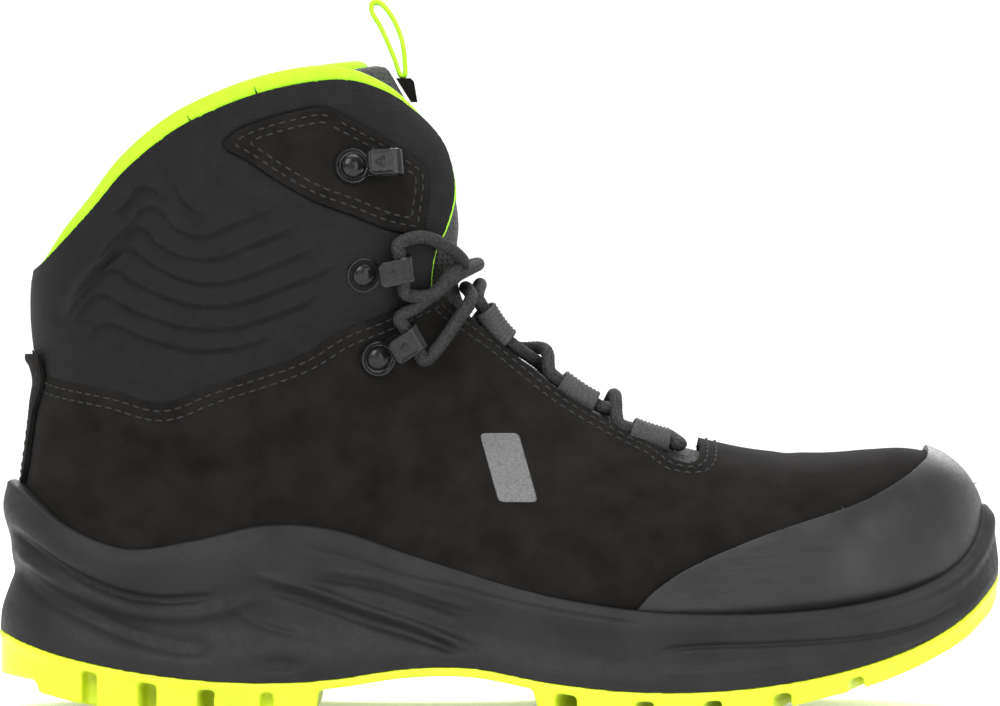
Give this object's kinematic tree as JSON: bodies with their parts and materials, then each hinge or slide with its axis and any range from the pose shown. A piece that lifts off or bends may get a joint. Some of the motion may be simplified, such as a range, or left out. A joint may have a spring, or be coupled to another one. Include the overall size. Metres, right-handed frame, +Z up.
{
  "type": "mid-cut hiking boot",
  "caption": "Lace-up mid-cut hiking and safety boot for the right foot with padded ankle collar, speed hooks, rubber toe bumper and lugged two-colour sole.",
  "frame": {"origin": "on the ground under the middle of the boot's bounding box", "axes": "+X towards the toe, +Y towards the inner (medial) side, +Z up"},
  "size_m": [0.305, 0.1113, 0.2151],
  "materials": {
    "outsole": "fluorescent yellow-green polyurethane, satin",
    "midsole": "anthracite foamed polyurethane, fine grain, satin",
    "board": "matt",
    "footbed": "matt textile over foam",
    "lining": "fluorescent lime knit",
    "microfibre": "near-black suede-like microfibre, matt",
    "collar_textile": "black laminated textile, matt",
    "foam": "open foam",
    "stiffener": "moulded composite, matt",
    "bumper": "dark grey smooth film, satin",
    "tongue_mesh": "black spacer mesh",
    "pull_tape": "fluorescent lime woven tape",
    "hook_metal": "glossy black enamel",
    "webbing": "ribbed dark grey webbing",
    "lace": "black round braid",
    "aglet": "black film"
  },
  "bodies": {
    "boot": {"outsole": "outsole", "midsole": "midsole", "shank": "board", "insole_board": "board", "footbed": "footbed", "lining": "lining", "tongue_lining_lower": "lining", "upper": "microfibre", "heel_strip": "microfibre", "hook_patch_outer": "microfibre", "hook_patch_inner": "microfibre", "collar_cover": "collar_textile", "collar_foam": "foam", "interlining": "foam", "toe_cap": "stiffener", "heel_counter": "stiffener", "toe_bumper": "bumper", "tongue_lower": "tongue_mesh", "hook_top_outer": "hook_metal", "hook_top_inner": "hook_metal", "hook_middle_outer": "hook_metal", "hook_middle_inner": "hook_metal", "hook_low_outer": "hook_metal", "hook_low_inner": "hook_metal", "rivet_top_outer": "hook_metal", "rivet_top_inner": "hook_metal", "rivet_middle_outer": "hook_metal", "rivet_middle_inner": "hook_metal", "rivet_low_outer": "hook_metal", "rivet_low_inner": "hook_metal", "lace_loop_front_outer": "webbing", "lace_loop_front_inner": "webbing", "lace_loop_middle_outer": "webbing", "lace_loop_middle_inner": "webbing", "lace_loop_rear_outer": "webbing", "lace_loop_rear_inner": "webbing", "lace": "lace", "aglet_outer": "aglet", "aglet_inner": "aglet"},
    "tongue_top": {"tongue_upper": "tongue_mesh", "tongue_lining_upper": "lining", "tongue_keeper": "collar_textile"},
    "pull_loop": {"pull_loop": "pull_tape"}
  },
  "joints": [
    {"name": "tongue_flex", "type": "hinge", "parent": "boot", "child": "tongue_top", "pos_m": [-0.0125, 0.00085, 0.1455], "axis": [0, 1, 0], "range_deg": [0, 5]},
    {"name": "pull_loop_flop", "type": "hinge", "parent": "tongue_top", "child": "pull_loop", "pos_m": [-0.0296, 0.00085, 0.1926], "axis": [0, 1, 0], "range_deg": [0, 80]}
  ]
}
